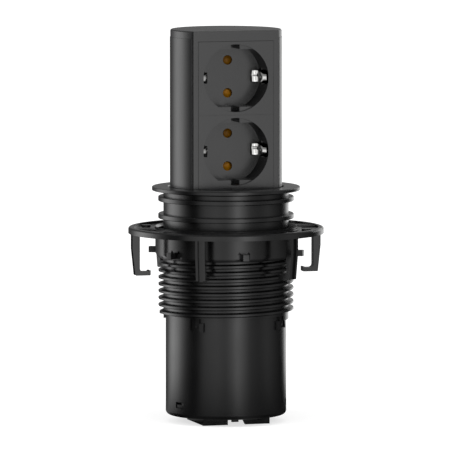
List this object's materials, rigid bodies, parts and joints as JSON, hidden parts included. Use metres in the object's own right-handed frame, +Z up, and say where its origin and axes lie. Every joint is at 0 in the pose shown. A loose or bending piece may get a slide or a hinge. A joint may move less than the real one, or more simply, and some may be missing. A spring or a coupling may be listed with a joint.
{
  "type": "pop up desk socket",
  "caption": "Round column with two earthed sockets in its flat front, rising out of a threaded worktop barrel.",
  "frame": {"origin": "on the column's axis, in the plane of the flange's underside, which is the worktop's top face", "axes": "+Z up along the column, -Y out of the flat front that carries the sockets, +X to the right of someone facing it"},
  "size_m": [0.113, 0.113, 0.2273],
  "materials": {
    "housing_plastic": "satin black, lightly textured",
    "guide_plastic": "satin dark grey",
    "column_plastic": "satin graphite black",
    "front_plastic": "satin black",
    "cap_plastic": "satin graphite black",
    "socket_plastic": "satin black",
    "carrier_plastic": "matt dark grey",
    "terminal_plastic": "natural white",
    "slip_plastic": "natural white, smooth",
    "shutter_plastic": "amber, smooth",
    "soft_rubber": "matt black",
    "nickel": "bright nickel plated",
    "contact_brass": "bright rolled strip",
    "steel": "zinc plated",
    "spring_steel": "bright spring steel"
  },
  "bodies": {
    "housing": {"barrel": "housing_plastic", "front_guide": "guide_plastic", "lower_housing": "housing_plastic", "bottom_insert": "housing_plastic", "guide_rail": "guide_plastic", "rail_screws": "steel", "lift_strip": "spring_steel", "strip_screw": "steel"},
    "clamp": {"clamp_ring": "housing_plastic"},
    "nut": {"clamp_nut": "housing_plastic"},
    "column": {"column_shell": "column_plastic", "front_plate": "front_plastic", "top_cap": "cap_plastic", "socket_upper": "socket_plastic", "socket_lower": "socket_plastic", "carrier_upper": "carrier_plastic", "carrier_lower": "carrier_plastic", "rear_cover": "carrier_plastic", "cover_screws": "steel", "earth_clip_upper": "nickel", "earth_clip_lower": "nickel", "line_bar": "contact_brass", "neutral_bar": "contact_brass", "earth_bar": "contact_brass", "terminal_block": "terminal_plastic", "terminal_screws": "steel", "column_base": "guide_plastic", "base_screws": "steel", "cable_bush": "soft_rubber", "cable_clamp": "guide_plastic", "clamp_screws": "steel", "damper_body": "guide_plastic", "cam_plate": "slip_plastic", "shutter_spring_upper": "spring_steel", "shutter_spring_lower": "spring_steel", "glide_pads": "slip_plastic"},
    "upper_slider": {"shutter_upper": "shutter_plastic"},
    "lower_slider": {"shutter_lower": "shutter_plastic"},
    "pinion": {"damper_pinion": "slip_plastic"},
    "drum": {"spring_drum": "slip_plastic", "spring_coil": "spring_steel"},
    "latch": {"latch_arm": "steel"}
  },
  "joints": [
    {"name": "column_slide", "type": "slide", "parent": "housing", "child": "column", "axis": [0, 0, 1], "range_m": [-0.0909, 0], "stiffness_N_per_m": 50, "springref_m": 0.2, "deforming": ["lift_strip"]},
    {"name": "nut_turn", "type": "hinge", "parent": "clamp", "child": "nut", "pos_m": [0, 0, -0.03], "axis": [0, 0, 1], "range_deg": [-2702, 362]},
    {"name": "ring_slide", "type": "slide", "parent": "housing", "child": "clamp", "axis": [0, 0, 1], "range_m": [-0.03, 0.004]},
    {"name": "upper_shutter_slide", "type": "slide", "parent": "column", "child": "upper_slider", "axis": [0, 0, 1], "range_m": [-0.0055, 0], "stiffness_N_per_m": 40, "springref_m": 0.005, "deforming": ["shutter_spring_upper"]},
    {"name": "lower_shutter_slide", "type": "slide", "parent": "column", "child": "lower_slider", "axis": [0, 0, 1], "range_m": [-0.0055, 0], "stiffness_N_per_m": 40, "springref_m": 0.005, "deforming": ["shutter_spring_lower"]},
    {"name": "pinion_turn", "type": "hinge", "parent": "column", "child": "pinion", "pos_m": [0.01, 0.0206, -0.0165], "axis": [0, 1, 0], "range_deg": [-1, 869]},
    {"name": "drum_turn", "type": "hinge", "parent": "column", "child": "drum", "pos_m": [-0.0105, 0.0206, -0.0165], "axis": [0, 1, 0], "range_deg": [-966, 1]},
    {"name": "latch_swing", "type": "hinge", "parent": "housing", "child": "latch", "pos_m": [0.0072, -0.0078, -0.1219], "axis": [0, 1, 0], "range_deg": [0, 24], "stiffness_Nm_per_rad": 0.003}
  ],
  "couplings": [
    {"joint": "nut_turn", "follows": "ring_slide", "rad_per_m": 1570.8},
    {"joint": "pinion_turn", "follows": "column_slide", "rad_per_m": -166.67},
    {"joint": "drum_turn", "follows": "column_slide", "rad_per_m": 185.19}
  ]
}
